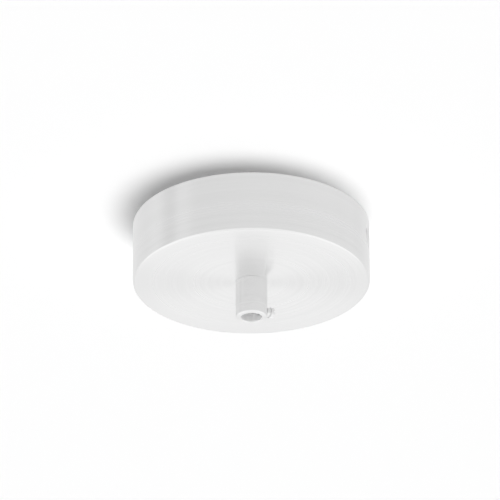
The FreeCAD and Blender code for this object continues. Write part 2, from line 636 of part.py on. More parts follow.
def make_bracket():
    """The pressed bracket: a strap with turned-down ears, a round middle and two tongues."""
    body = new_body("ceiling_bracket")
    wide = "(Sizes.strap_width / 2)"
    ear_back = f"({EAR_FACE} - Sizes.sheet)"
    ear_end = f"({SIDE_AXIS} - Sizes.ear_below)"
    strap = new_sketch(body, "strap_outline", "XY_Plane")
    rectangle(strap, f"-{EAR_FACE}", EAR_FACE, f"-{wide}", wide)
    extrude(body, "Pad", strap, "Sizes.sheet", reverse=True)
    hub = new_sketch(body, "hub_outline", "XY_Plane")
    circle(hub, "0", "0", HUB_EDGE)
    extrude(body, "Pad", hub, "Sizes.sheet", reverse=True)

    ear = new_sketch(body, "ear_outline", "XY_Plane")
    rectangle(ear, ear_back, EAR_FACE, f"-{wide}", wide)
    thread = f"({SIDE_THREAD} + Sizes.thread_play)"
    collar = new_sketch(body, "ear_collar_outline", "YZ_Plane", level=ear_back, up=SIDE_AXIS)
    circle(collar, "0", "0", f"{thread} + Sizes.collar_wall")
    tapped = new_sketch(body, "ear_thread", "YZ_Plane", level=EAR_FACE, up=SIDE_AXIS)
    circle(tapped, "0", "0", thread)
    ear_features = [
        extrude(body, "Pad", ear, f"-{ear_end}", reverse=True),
        extrude(body, "Pad", collar, "Sizes.collar_length", reverse=True),
        extrude(body, "Pocket", tapped, "Sizes.sheet + Sizes.collar_length"),
    ]
    repeat_across(body, "ears", ear_features)
    add_block_tongue(body)
    add_earth_tongue(body)

    hole = new_sketch(body, "hub_hole_outline", "XY_Plane")
    circle(hole, "0", "0", "Sizes.hub_hole / 2")
    extrude(body, "Pocket", hole, "Sizes.sheet")
    fixing = new_sketch(body, "fixing_slot_outline", "XY_Plane")
    slot(fixing, SLOT_PLACE, "Sizes.fixing_slot_length", "Sizes.fixing_slot_width")
    cut = extrude(body, "Pocket", fixing, "Sizes.sheet")
    repeat_across(body, "fixing_slots", [cut])

    corners = straight_edges(0, (wide, ear_end), (f"-{wide}", ear_end))
    outside = straight_edges(1, (EAR_FACE, "0"), (f"-{EAR_FACE}", "0"))
    inside = straight_edges(1, (ear_back, "-Sizes.sheet"), (f"-{ear_back}", "-Sizes.sheet"))
    break_edges(body, "Fillet", "Sizes.ear_corner", corners)
    break_edges(body, "Fillet", "Sizes.bend + Sizes.sheet", outside)
    break_edges(body, "Fillet", "Sizes.bend", inside)


def add_block_tongue(body):
    """The flat tongue over the terminal block, with a tapped hole for each block screw."""
    wide = "(Sizes.block_tongue_width / 2)"
    tongue = new_sketch(body, "block_tongue_outline", "XY_Plane")
    rectangle(tongue, f"-{wide}", wide, "Sizes.hub_hole / 2", BLOCK_END)
    extrude(body, "Pad", tongue, "Sizes.sheet", reverse=True)
    corners = straight_edges(2, (wide, BLOCK_END), (f"-{wide}", BLOCK_END))
    break_edges(body, "Fillet", "Sizes.tongue_corner", corners)
    holes = new_sketch(body, "block_screw_threads", "XY_Plane")
    for sign in ("", "-"):
        thread = "Sizes.block_screw_thread / 2 + Sizes.thread_play"
        circle(holes, f"{sign}{PITCH} / 2", BLOCK_PLACE, thread)
    extrude(body, "Pocket", holes, "Sizes.sheet")


def add_earth_tongue(body):
    """The stepped tongue with the tapped collar of the earth terminal."""
    wide = "(Sizes.earth_tongue_width / 2)"
    end = f"({EARTH_PLACE} + Sizes.earth_end)"
    # The step slopes at 45 degrees, and this shift of its lower corners keeps the sheet's thickness.
    shift = "Sizes.sheet * tan(22.5 deg)"
    side = new_sketch(body, "earth_tongue_side", "YZ_Plane")
    corners = [
        ("-Sizes.hub_hole / 2", "0"),
        ("-Sizes.hub_hole / 2", "-Sizes.sheet"),
        (f"{shift} - {STEP_START}", "-Sizes.sheet"),
        (f"{shift} - {STEP_END}", EARTH_FACE),
        (f"-{end}", EARTH_FACE),
        (f"-{end}", "-Sizes.joggle_drop"),
        (f"-{STEP_END}", "-Sizes.joggle_drop"),
        (f"-{STEP_START}", "0"),
    ]
    outline(side, corners)
    extrude(body, "Pad", side, "Sizes.earth_tongue_width", middle=True)
    ends = straight_edges(2, (wide, f"-{end}"), (f"-{wide}", f"-{end}"))
    break_edges(body, "Fillet", "Sizes.tongue_corner", ends)
    thread = "(Sizes.earth_thread / 2 + Sizes.thread_play)"
    collar = new_sketch(body, "earth_collar_outline", "XY_Plane", level="-Sizes.joggle_drop")
    circle(collar, "0", f"-{EARTH_PLACE}", f"{thread} + Sizes.collar_wall")
    extrude(body, "Pad", collar, "Sizes.collar_length")
    top = "Sizes.collar_length - Sizes.joggle_drop"
    tapped = new_sketch(body, "earth_thread_outline", "XY_Plane", level=top)
    circle(tapped, "0", f"-{EARTH_PLACE}", thread)
    extrude(body, "Pocket", tapped, "Sizes.collar_length + Sizes.sheet")


def make_upright_screw(name, kind, x, y, seat, tip):
    """A slotted cheese-head screw with its head below its seat and its tip above.

    Its thread, rim and head are the cells whose names start with kind.
    """
    body = new_body(name, place=(x, y, "0"))
    radius = f"(Sizes.{kind}_thread / 2)"
    rim = f"({radius} + Sizes.{kind}_rim)"
    under = f"({seat} - Sizes.{kind}_head)"
    section = new_sketch(body, f"{name}_section", "XZ_Plane")
    corners = [
        ("0", under),
        (f"{rim} - Sizes.screw_edge", under),
        (rim, f"{under} + Sizes.screw_edge"),
        (rim, seat),
        (radius, seat),
        (radius, f"{tip} - Sizes.screw_edge"),
        (f"{radius} - Sizes.screw_edge", tip),
        ("0", tip),
    ]
    outline(section, corners)
    spin(body, "Revolution", section, "V_Axis")
    cut = new_sketch(body, f"{name}_slot", "XY_Plane", level=under)
    half = "Sizes.slot_width / 2"
    rectangle(cut, f"-2 * {rim}", f"2 * {rim}", f"-{half}", half)
    extrude(body, "Pocket", cut, "Sizes.slot_depth", reverse=True)


def make_earth_terminal():
    """The earth screw with its square clamp washer and split spring washer."""
    middle = ("0", f"-{EARTH_PLACE}", "0")
    hole = "(Sizes.earth_thread / 2 + Sizes.washer_play)"
    clamp = new_body("earth_clamp_washer", place=middle)
    square = new_sketch(clamp, "clamp_outline", "XY_Plane", level=EARTH_CLAMP)
    half = "(Sizes.clamp_side / 2)"
    rectangle(square, f"-{half}", half, f"-{half}", half)
    circle(square, "0", "0", hole)
    extrude(clamp, "Pad", square, "Sizes.clamp_thickness")
    corners = [(x, y) for x in (half, f"-{half}") for y in (half, f"-{half}")]
    break_edges(clamp, "Fillet", "Sizes.clamp_corner", straight_edges(2, *corners))

    spring = new_body("earth_spring_washer", place=middle)
    coil = new_sketch(spring, "spring_outline", "XY_Plane", level=EARTH_SEAT)
    edge = f"({hole} + Sizes.spring_band)"
    circle(coil, "0", "0", edge)
    circle(coil, "0", "0", hole)
    extrude(spring, "Pad", coil, "Sizes.spring_thickness")
    split = new_sketch(spring, "spring_split_outline", "XY_Plane", level=EARTH_CLAMP)
    rectangle(split, "0", f"2 * {edge}", "-Sizes.spring_split / 2", "Sizes.spring_split / 2")
    extrude(spring, "Pocket", split, "Sizes.spring_thickness")

    make_upright_screw("earth_screw", "earth", "0", f"-{EARTH_PLACE}", EARTH_SEAT, EARTH_TIP)


def make_terminal_block():
    """The moulded block: poles on a web, screw tubes below, and wire ways along Y."""
    body = new_body("terminal_block", place=("0", BLOCK_PLACE, "0"))
    deep = "(Sizes.block_depth / 2)"
    half = f"(({PITCH} - Sizes.pole_gap) / 2)"
    spaces = [f"{sign}Sizes.terminal_spacing / 2" for sign in ("", "-")]
    web = new_sketch(body, "web_outline", "XY_Plane", level=BLOCK_TOP)
    rectangle(web, FIRST_POLE, f"-{FIRST_POLE}", f"-{deep}", deep)
    extrude(body, "Pad", web, "Sizes.web_height", reverse=True)

    case = new_sketch(body, "pole_outline", "XY_Plane", level=BLOCK_TOP)
    rectangle(case, f"{FIRST_POLE} - {half}", f"{FIRST_POLE} + {half}", f"-{deep}", deep)
    tube = new_sketch(body, "chimney_outline", "XY_Plane", level=BLOCK_BASE)
    for place in spaces:
        circle(tube, FIRST_POLE, place, f"{TERMINAL_WAY} + Sizes.chimney_wall")
    pole_features = [
        extrude(body, "Pad", case, BLOCK_HEIGHT, reverse=True),
        extrude(body, "Pad", tube, f"{BLOCK_BASE} - {CHIMNEY_END}", reverse=True),
    ]
    repeat_poles(body, "poles", pole_features)

    posts = new_sketch(body, "block_posts", "XY_Plane", level=BLOCK_TOP)
    holes = new_sketch(body, "block_screw_holes", "XY_Plane", level=BLOCK_TOP)
    for sign in ("", "-"):
        circle(posts, f"{sign}{PITCH} / 2", "0", f"{SCREW_WAY} + Sizes.post_wall")
        circle(holes, f"{sign}{PITCH} / 2", "0", SCREW_WAY)
    extrude(body, "Pad", posts, BLOCK_HEIGHT, reverse=True)
    extrude(body, "Pocket", holes, BLOCK_HEIGHT)

    way = new_sketch(body, "wire_way", "XZ_Plane", level=deep, up=BARREL_AXIS)
    circle(way, FIRST_POLE, "0", BARREL_WAY)
    well = new_sketch(body, "screw_well", "XY_Plane", level=BARREL_AXIS)
    for place in spaces:
        circle(well, FIRST_POLE, place, TERMINAL_WAY)
    way_features = [
        extrude(body, "Pocket", way, "Sizes.block_depth"),
        extrude(body, "Pocket", well, f"{BARREL_AXIS} - {CHIMNEY_END}"),
    ]
    repeat_poles(body, "ways", way_features)

    side = f"({FIRST_POLE} - {half})"
    corners = [(x, y) for x in (side, f"-{side}") for y in (deep, f"-{deep}")]
    break_edges(body, "Fillet", "Sizes.pole_corner", straight_edges(2, *corners))


def make_barrel(name, x):
    """A brass barrel along Y, with two tapped holes in its lower side."""
    body = new_body(name, place=(x, BLOCK_PLACE, "0"))
    half = "(Sizes.block_depth / 2 - Sizes.barrel_inset)"
    section = new_sketch(body, f"{name}_section", "YZ_Plane", up=BARREL_AXIS)
    rectangle(section, f"-{half}", half, BARREL_BORE, BARREL_RADIUS)
    spin(body, "Revolution", section, "H_Axis")
    tapped = new_sketch(body, f"{name}_threads", "XY_Plane", level=BARREL_AXIS)
    for sign in ("", "-"):
        thread = "Sizes.terminal_thread / 2 + Sizes.thread_play"
        circle(tapped, "0", f"{sign}Sizes.terminal_spacing / 2", thread)
    extrude(body, "Pocket", tapped, f"2 * {BARREL_RADIUS}")


def make_poles():
    """Each pole's barrel and its two screws, one towards the cup's wall and one towards its middle."""
    for index, pole in enumerate(POLES):
        x = f"{FIRST_POLE} + {index} * {PITCH}"
        make_barrel(f"{pole}_barrel", x)
        for end, sign in (("outer", "+"), ("inner", "-")):
            y = f"{BLOCK_PLACE} {sign} Sizes.terminal_spacing / 2"
            make_upright_screw(f"{pole}_{end}_screw", "terminal", x, y, TERMINAL_SEAT, TERMINAL_TIP)


def make_block_screws():
    """The two screws that hold the terminal block under its tongue."""
    for side, sign in (("right", ""), ("left", "-")):
        x = f"{sign}{PITCH} / 2"
        tip = "-Sizes.block_screw_inset"
        make_upright_screw(f"block_screw_{side}", "block_screw", x, BLOCK_PLACE, BLOCK_BASE, tip)


def check_document():
    """Stops if any object failed or any piece has no valid solid."""
    DOC.recompute()
    for item in DOC.Objects:
        if "Invalid" in item.State or "Error" in item.State:
            raise RuntimeError(f"{item.Label} is {item.State}")
    for body in BODIES:
        shape = body.Shape
        if shape.isNull() or not shape.isValid() or not shape.Solids:
            raise RuntimeError(f"{body.Label} has no valid solid")


def main():
    make_cup()
    make_grip()
    make_grip_screw()
    make_side_screw("side_screw_right", "0")
    make_side_screw("side_screw_left", "180")
    make_nipple()
    make_ring("flat_washer", "Sizes.washer_diameter / 2", NIPPLE_WAY, FLOOR, "Sizes.washer_thickness")
    make_toothed_washer()
    make_lock_nut()
    make_edge_bush()
    make_bracket()
    make_terminal_block()
    make_poles()
    make_block_screws()
    make_earth_terminal()
    check_document()
    os.makedirs("parts", exist_ok=True)
    for body in BODIES:
        body.Shape.exportStep(os.path.join("parts", f"{body.Label}.step"))


main()
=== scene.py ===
"""Looks of an electrical ceiling rose: a brushed metal cup on a white ceiling, seen from below.

Lengths in this script are millimetres in the row frame until a mesh or a place is made, where
MM turns them into metres. The ceiling is the plane z = 0, and the rose hangs down along -Z.
"""

import math

import bmesh
import bpy
from mathutils import Matrix, Vector


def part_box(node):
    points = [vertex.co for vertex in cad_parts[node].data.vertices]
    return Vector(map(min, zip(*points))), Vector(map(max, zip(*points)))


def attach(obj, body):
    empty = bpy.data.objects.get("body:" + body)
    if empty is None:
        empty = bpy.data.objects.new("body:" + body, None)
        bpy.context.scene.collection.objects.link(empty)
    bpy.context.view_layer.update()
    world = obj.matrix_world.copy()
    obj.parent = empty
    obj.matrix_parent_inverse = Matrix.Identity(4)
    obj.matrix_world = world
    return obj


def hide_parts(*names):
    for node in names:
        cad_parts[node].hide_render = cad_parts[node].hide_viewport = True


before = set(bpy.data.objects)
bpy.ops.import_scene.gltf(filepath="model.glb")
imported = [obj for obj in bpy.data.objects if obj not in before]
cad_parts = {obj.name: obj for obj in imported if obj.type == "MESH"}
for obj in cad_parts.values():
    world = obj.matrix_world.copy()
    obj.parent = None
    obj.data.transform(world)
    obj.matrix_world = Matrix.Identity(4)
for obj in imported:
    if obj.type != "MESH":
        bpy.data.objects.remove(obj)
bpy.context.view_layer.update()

MM = 0.001
TURN = 2 * math.pi


def extent(node):
    """Lowest and highest corner of a CAD node in millimetres, rounded to a twentieth."""
    return [Vector(round(side / MM * 20) / 20 for side in corner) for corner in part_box(node)]


# Sizes that the boxes of the CAD nodes in model.glb give.
CUP_LOW, CUP_HIGH = extent("canopy_cup")
GRIP_LOW, GRIP_HIGH = extent("cord_grip")
SIDE_LOW, SIDE_HIGH = extent("side_screw_right")
NIPPLE_LOW, NIPPLE_HIGH = extent("threaded_nipple")
GRIP_SCREW_LOW, GRIP_SCREW_HIGH = extent("cord_grip_screw")
CUP_RADIUS = CUP_HIGH.x
CUP_FACE = CUP_LOW.z
SIDE_AXIS = (SIDE_LOW.z + SIDE_HIGH.z) / 2
SIDE_HEAD = SIDE_HIGH.y
GRIP_RADIUS = GRIP_HIGH.x
GRIP_SCREW_AXIS = (GRIP_SCREW_LOW.z + GRIP_SCREW_HIGH.z) / 2
GRIP_SCREW_HEAD = (GRIP_SCREW_HIGH.z - GRIP_SCREW_LOW.z) / 2
NIPPLE_RADIUS = NIPPLE_HIGH.x

# The cup's wall, its roundings, and the hole in its middle.
CUP_WALL = 1.0
CUP_INNER = CUP_RADIUS - CUP_WALL
CUP_CORNER = 0.6
CUP_EDGE = 1.0
CUP_RIM_ROUND = 0.15
CUP_HOLE = NIPPLE_RADIUS + 0.25
CUP_COLUMNS = 320
# Steps along its section: the flat, the inside corner, the wall below the dimples, a quarter
# of the rim's round and the lower edge's round.
FLAT_STEPS, CORNER_STEPS, WALL_STEPS, RIM_STEPS, EDGE_STEPS = 10, 5, 8, 4, 12

# A dimple: a cone from its mouth to its hole, with a flat land inside and a soft lip.
DIMPLE_MOUTH = SIDE_HEAD + 0.6
DIMPLE_HOLE = 2.2
DIMPLE_LAND = 0.4
DIMPLE_LIP = 2.2
# It sits in a square of the wall, this many faces to each side of its axis.
PATCH = 8
# Three rings lead from the square to a circle, and these from the circle to the hole.
DIMPLE_CIRCLE = DIMPLE_MOUTH + 1.8
OUTER_RINGS = (
    *(6.1, 5.8, 5.5, 5.2, 5.0, 4.8, 4.6, 4.4, 4.2, 4.0, 3.75, 3.5, 3.2, 2.9, 2.6, 2.35),
    DIMPLE_HOLE,
)
INNER_RINGS = (
    *(6.1, 5.8, 5.5, 5.2, 4.95, 4.7, 4.4, 4.1, 3.8, 3.5, 3.25, 3.2, 2.9, 2.5),
    DIMPLE_HOLE,
)

# The cord grip: its bore, the thread for the nipple, its chamfers and the length of its faces.
GRIP_BORE = 4.25
GRIP_THREAD = NIPPLE_RADIUS + 0.05
GRIP_EDGE = 0.4
GRIP_EDGE_ROUND = 0.15
GRIP_FACE = 0.45
GRIP_COLUMNS = 180

# The cord grip's screw: which way it points, how far its seat stands off the grip, its head's
# height, how far its tip stays out of the bore, the tip's chamfer, how much of its thread
# shows, and the play in its hole.
GRIP_SCREW_TURN = math.radians(38)
GRIP_SCREW_STAND = 1.8
GRIP_SCREW_CAP = 1.7
GRIP_SCREW_INSET = 0.05
GRIP_SCREW_EDGE = 0.1
GRIP_SCREW_SHOWN = 0.2
GRIP_SCREW_HOLE = 0.05
GRIP_SCREW_COLUMNS = 64

# A side screw: the height of its dome, where its rim's chamfer starts and ends, and its recess.
SIDE_DOME = 0.8
SIDE_RIM_FOOT = 0.12
SIDE_RIM_TOP = 0.02
SIDE_DOME_STEPS = 12
SIDE_COLUMNS = 72
CROSS_DEPTH = 1.9
CROSS_ARM = 0.5
CROSS_REACH = 2.1
CROSS_MOUTH = 1.25
CROSS_FOOT = 0.5

# Threads: stations to a pitch, depth in pitches, steepness of the flanks, and the M4 thread's
# radius, its neck under the head, and the gap where one turns into the other.
THREAD_STATIONS = 8
THREAD_DEPTH = 0.6
THREAD_FLANK = 1.15
M4_THREAD = 2.0
M4_NECK = M4_THREAD - 0.1
M4_NECK_GAP = 0.1
M4_PITCH = 0.7
M10_PITCH = 1.0

# All screws: the tip's chamfer and the slot.
SCREW_EDGE = 0.3
SLOT_WIDTH = 0.8
SLOT_DEPTH = 0.9

# The cheese-head screws: head past thread, height of the head, and pitch.
TERMINAL_SCREW = (0.6, 1.5, 0.45)
BLOCK_SCREW = (1.0, 1.8, 0.5)
EARTH_SCREW = (1.8, 2.6, M4_PITCH)
# Their neck under the head: how much thinner and how long.
CHEESE_NECK = 0.2
CHEESE_NECK_LENGTH = 0.15
CHEESE_COLUMNS = 40

# The nipple.
NIPPLE_WALL = 0.95
NIPPLE_EDGE = 0.4
NIPPLE_COLUMNS = 80

# Shading stays smooth over edges flatter than this.
CREASE = math.radians(32)
# CAD faces that meet flatter than this become one before their edges are rounded.
FLAT = math.radians(0.5)
# Points nearer than this become one, in metres.
MERGE = 1e-7


def link(piece):
    """Puts a new object into the scene."""
    bpy.context.scene.collection.objects.link(piece)
    return piece


def new_mesh(name, points, faces):
    """A mesh from points in millimetres."""
    mesh = bpy.data.meshes.new(name)
    mesh.from_pydata([tuple(c * MM for c in point) for point in points], [], faces)
    return mesh


def new_piece(name, points, faces, place=Matrix()):
    """A mesh object from points in millimetres, with its faces turned outwards."""
    mesh = new_mesh(name, points, faces)
    shape = bmesh.new()
    shape.from_mesh(mesh)
    bmesh.ops.remove_doubles(shape, verts=shape.verts, dist=MERGE)
    loose = [vert for vert in shape.verts if not vert.link_faces]
    bmesh.ops.delete(shape, geom=loose, context="VERTS")
    bmesh.ops.recalc_face_normals(shape, faces=shape.faces)
    shape.to_mesh(mesh)
    shape.free()
    piece = link(bpy.data.objects.new(name, mesh))
    piece.matrix_world = place
    return piece


def lying(turn, height):
    """The place of a piece built about Z, laid down at a height and pointing at an angle."""
    upright = Matrix.Rotation(turn, 4, "Z") @ Matrix.Translation((0, 0, height * MM))
    return upright @ Matrix.Rotation(TURN / 4, 4, "Y")


def apply_modifiers(piece):
    """Turns a piece's modifiers into mesh."""
    bpy.context.view_layer.update()
    shown = piece.evaluated_get(bpy.context.evaluated_depsgraph_get())
    old = piece.data
    piece.data = bpy.data.meshes.new_from_object(shown)
    piece.modifiers.clear()
    bpy.data.meshes.remove(old)


def cut(piece, cutter):
    """Takes the cutter's shape out of the piece."""
    change = piece.modifiers.new("cut", "BOOLEAN")
    change.operation = "DIFFERENCE"
    change.solver = "EXACT"
    change.object = cutter
    apply_modifiers(piece)
    bpy.data.objects.remove(cutter)


def soften(piece, width, limit=35):
    """Rounds the edges that are sharper than a limit in degrees, by a width in millimetres."""
    change = piece.modifiers.new("edges", "BEVEL")
    change.limit_method = "ANGLE"
    change.angle_limit = math.radians(limit)
    change.width = width * MM
    change.segments = 2
    change.use_clamp_overlap = True
    apply_modifiers(piece)


def dress(piece, body, slot, node, material=None):
    """Shades a piece smooth between its creases, gives it its body and finish, and hides the CAD
    node it replaces.
    """
    piece.data.shade_smooth()
    piece.data.set_sharp_from_angle(angle=CREASE)
    piece.data.materials.clear()
    piece.data.materials.append(material or FINISHES[slot])
    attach(piece, body)
    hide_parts(node)


def arc(middle, radius, start, end, steps):
    """Points of an arc between two angles in degrees."""
    angles = [math.radians(start + (end - start) * i / steps) for i in range(steps + 1)]
    return [(middle[0] + radius * math.cos(a), middle[1] + radius * math.sin(a)) for a in angles]


def rounded(corners, steps=3):
    """A closed outline through corners (radius, height, rounding), each rounded by its own arc."""
    points = []
    for i, (x, y, rounding) in enumerate(corners):
        if not rounding:
            points.append((x, y))
            continue
        place = Vector((x, y))
        before = (Vector(corners[i - 1][:2]) - place).normalized()
        after = (Vector(corners[(i + 1) % len(corners)][:2]) - place).normalized()
        half = before.angle(after) / 2
        middle = place + (before + after).normalized() * (rounding / math.sin(half))
        start = place + before * (rounding / math.tan(half)) - middle
        end = place + after * (rounding / math.tan(half)) - middle
        first = math.degrees(math.atan2(start.y, start.x))
        sweep = (math.degrees(math.atan2(end.y, end.x)) - first + 180) % 360 - 180
        points += arc(middle, rounding, first, first + sweep, steps)
    return points


def divided(points, longest):
    """A closed outline with its long sides divided."""
    result = []
    for i, (x, y) in enumerate(points):
        next_x, next_y = points[(i + 1) % len(points)]
        count = max(1, math.ceil(math.hypot(next_x - x, next_y - y) / longest))
        for k in range(count):
            result.append((x + (next_x - x) * k / count, y + (next_y - y) * k / count))
    return result


def thread_radius(radius, pitch, height, angle):
    """The radius of a helical thread at a height and angle."""
    phase = (height / pitch - angle / TURN) % 1
    share = THREAD_FLANK - 2 * THREAD_FLANK * abs(phase - 0.5)
    return radius - THREAD_DEPTH * pitch * min(1, max(0, share))


# A turned piece is made from stations: (radius, height), or (radius, height, pitch) in a thread.


def circle(columns, radius, height, pitch=None):
    """The points of a station round Z."""
    points = []
    for column in range(columns):
        angle = TURN * column / columns
        reach = thread_radius(radius, pitch, height, angle) if pitch else radius
        points.append((reach * math.cos(angle), reach * math.sin(angle), height))
    return points


def band(first, second, columns):
    """Faces between two circles of points, which start at two indices."""
    faces = []
    for column in range(columns):
        beside = (column + 1) % columns
        faces.append((first + column, first + beside, second + beside, second + column))
    return faces


def thread_stations(radius, low, high, pitch):
    """The stations of a thread between two heights."""
    count = math.ceil((high - low) / pitch * THREAD_STATIONS)
    return [(radius, low + (high - low) * i / count, pitch) for i in range(count + 1)]


def turned(name, stations, columns, place=Matrix()):
    """A piece turned about Z, with its stations in a closed ring."""
    points, faces = [], []
    for row, station in enumerate(stations):
        points += circle(columns, *station)
        faces += band(row * columns, (row + 1) % len(stations) * columns, columns)
    return new_piece(name, points, faces, place)


def turned_screw(name, stations, columns, place):
    """A solid piece turned about Z, with its first and last station on the axis."""
    points = [(0, 0, stations[0][1])]
    for station in stations[1:-1]:
        points += circle(columns, *station)
    points.append((0, 0, stations[-1][1]))
    last = len(points) - 1
    top = last - columns
    faces = []
    for column in range(columns):
        beside = (column + 1) % columns
        faces += [(0, 1 + column, 1 + beside), (last, top + beside, top + column)]
    for first in range(1, top, columns):
        faces += band(first, first + columns, columns)
    return new_piece(name, points, faces, place)


def box_cutter(low, high, place):
    """A box between two corners, to cut with."""
    xs, ys, zs = zip(low, high)
    points = [(x, y, z) for x in xs for y in ys for z in zs]
    faces = [(0, 1, 3, 2), (4, 6, 7, 5), (0, 4, 5, 1), (2, 3, 7, 6), (0, 2, 6, 4), (1, 5, 7, 3)]
    return new_piece("cutter", points, faces, place)


def cross_cutter(top, place):
    """A cross-shaped recess below a height, narrower at its foot, to cut with."""
    points = []
    for level, share in ((top + CROSS_DEPTH, CROSS_MOUTH), (top - CROSS_DEPTH, CROSS_FOOT)):
        arm, reach = CROSS_ARM * share, CROSS_REACH * share
        for quarter in range(4):
            turn = quarter * TURN / 4
            cos, sin = math.cos(turn), math.sin(turn)
            for x, y in ((reach, -arm), (reach, arm), (arm, arm)):
                points.append((x * cos - y * sin, x * sin + y * cos, level))
    faces = [tuple(range(12)), tuple(range(23, 11, -1))]
    faces += [(i, (i + 1) % 12, (i + 1) % 12 + 12, i + 12) for i in range(12)]
    return new_piece("cutter", points, faces, place)


class Nodes:
    """A node tree, with short ways to add nodes to it."""

    def __init__(self, owner):
        owner.use_nodes = True
        self.tree = owner.node_tree

    def node(self, kind, values=(), **settings):
        """Adds a node, with settings and with values or links for its first inputs."""
        node = self.tree.nodes.new(f"ShaderNode{kind}")
        for name, value in settings.items():
            setattr(node, name, value)
        for socket, value in zip(node.inputs, values):
            if isinstance(value, bpy.types.NodeSocket):
                self.tree.links.new(value, socket)
            else:
                socket.default_value = value
        return node

    def maths(self, operation, *values):
        """A Math node's result."""
        return self.node("Math", values, operation=operation).outputs[0]


class Finish(Nodes):
    """A procedural material: a Principled shader with short ways to vary it."""

    # Where the lines read their noise, away from its lattice.
    RINGS_X, RINGS_Y = 0.4, 0.6

    def __init__(self, name, colour, roughness, metallic=0.0):
        self.material = bpy.data.materials.new(name)
        super().__init__(self.material)
        self.shader = self.tree.nodes["Principled BSDF"]
        self.colour = colour
        self.roughness = roughness
        self.shader.inputs["Base Color"].default_value = (*colour, 1)
        self.shader.inputs["Roughness"].default_value = roughness
        self.shader.inputs["Metallic"].default_value = metallic
        self.place = self.node("TexCoord").outputs["Object"]

    def noise(self, vector, scale, detail=3.0):
        """Noise about zero, from about -1 to 1."""
        noise = self.node("TexNoise")
        self.tree.links.new(vector, noise.inputs["Vector"])
        noise.inputs["Scale"].default_value = scale
        noise.inputs["Detail"].default_value = detail
        noise.inputs["Roughness"].default_value = 0.55
        return self.maths("MULTIPLY_ADD", noise.outputs["Fac"], 3.2, -1.6)

    def rings(self, length, spread, detail=2.0):
        """Noise in lines round the Z axis, so long in millimetres across and spread along them."""
        x, y, z = self.node("SeparateXYZ", (self.place,)).outputs
        flat = self.node("CombineXYZ", (x, y, 0.0)).outputs[0]
        radius = self.node("VectorMath", (flat,), operation="LENGTH").outputs["Value"]
        run = self.maths("DIVIDE", self.maths("ADD", radius, z), length * MM)
        around = self.node("VectorMath", (flat,), operation="NORMALIZE").outputs[0]
        round_x, round_y, _ = self.node("SeparateXYZ", (around,)).outputs
        wide_x = self.maths("MULTIPLY_ADD", round_x, spread, self.RINGS_X)
        wide_y = self.maths("MULTIPLY_ADD", round_y, spread, self.RINGS_Y)
        wide = self.node("CombineXYZ", (wide_x, wide_y, run)).outputs[0]
        return self.noise(wide, 1.0, detail)

    def within(self, reach):
        """1 nearer to the Z axis than a reach in millimetres, and 0 beyond it."""
        flat = self.node("VectorMath", (self.place, (1, 1, 0)), operation="MULTIPLY").outputs[0]
        radius = self.node("VectorMath", (flat,), operation="LENGTH").outputs["Value"]
        return self.maths("LESS_THAN", radius, reach * MM)

    def vary_colour(self, amount, noise, level=1.0):
        """Lightens and darkens the base colour by a share, about a level."""
        factor = self.maths("MULTIPLY_ADD", noise, amount, level)
        scaled = self.node("VectorMath", (self.colour,), operation="SCALE")
        self.tree.links.new(factor, scaled.inputs["Scale"])
        self.tree.links.new(scaled.outputs[0], self.shader.inputs["Base Color"])

    def vary_roughness(self, amount, noise, level=None):
        """Varies the roughness by an amount, about its own value or another level."""
        level = self.roughness if level is None else level
        value = self.maths("MULTIPLY_ADD", noise, amount, level)
        self.tree.links.new(value, self.shader.inputs["Roughness"])

    def bump(self, height, noise, strength=1.0):
        """Bump of a height in millimetres."""
        bump = self.node("Bump")
        bump.inputs["Strength"].default_value = strength
        bump.inputs["Distance"].default_value = height * MM
        self.tree.links.new(noise, bump.inputs["Height"])
        self.tree.links.new(bump.outputs[0], self.shader.inputs["Normal"])

    def brushed_round(self, amount):
        """Stretches highlights across lines that run round the Z axis."""
        tangent = self.node("Tangent", direction_type="RADIAL", axis="Z")
        self.tree.links.new(tangent.outputs[0], self.shader.inputs["Tangent"])
        self.shader.inputs["Anisotropic"].default_value = amount
        self.shader.inputs["Anisotropic Rotation"].default_value = 0.25


# How much painted light lightens the brushed metal's colour inside a bore, standing in for the
# light that reaches into it, and how much rougher the metal is there.
BORE_PAINTED_LIGHT = 0.16
BORE_ROUGHER = 0.7


def brushed_metal(name, bore=0.0):
    """Brushed satin metal with lines round the Z axis, left rough inside a bore, where painted
    light makes its colour lighter.
    """
    finish = Finish(name, (0.86, 0.86, 0.86), 0.26, metallic=1.0)
    finish.brushed_round(0.9)
    fine = finish.rings(0.3, 0.25)
    broad = finish.rings(1.7, 0.1, detail=1.0)
    halves = [finish.maths("MULTIPLY", lines, 0.5) for lines in (fine, broad)]
    both = finish.maths("ADD", *halves)
    level, roughness = 1.0, finish.roughness
    if bore:
        inside = finish.within(bore)
        # Painted light: inside the bore the colour is made lighter, standing in for light reaching
        # in.
        level = finish.maths("MULTIPLY_ADD", inside, BORE_PAINTED_LIGHT, level)
        roughness = finish.maths("MULTIPLY_ADD", inside, BORE_ROUGHER, roughness)
    finish.vary_colour(0.04, both, level)
    finish.vary_roughness(0.03, both, roughness)
    finish.bump(0.003, fine)
    return finish.material


def plated(name, colour, roughness):
    """Bright plate or bare brass on a turned piece."""
    finish = Finish(name, colour, roughness, metallic=1.0)
    finish.brushed_round(0.35)
    cloud = finish.noise(finish.place, 420.0)
    finish.vary_colour(0.03, cloud)
    finish.vary_roughness(0.05, cloud)
    finish.bump(0.002, finish.rings(0.12, 1.5))
    return finish.material


def zinc(name, colour, roughness, scale):
    """Zinc plate on pressed steel: faint clouds and a fine grain."""
    finish = Finish(name, colour, roughness, metallic=1.0)
    cloud = finish.noise(finish.place, scale, detail=4.0)
    grain = finish.noise(finish.place, 9000.0)
    finish.vary_colour(0.07, cloud)
    finish.vary_roughness(0.10, cloud)
    finish.bump(0.004, finish.maths("ADD", grain, finish.maths("MULTIPLY", cloud, 0.5)))
    return finish.material


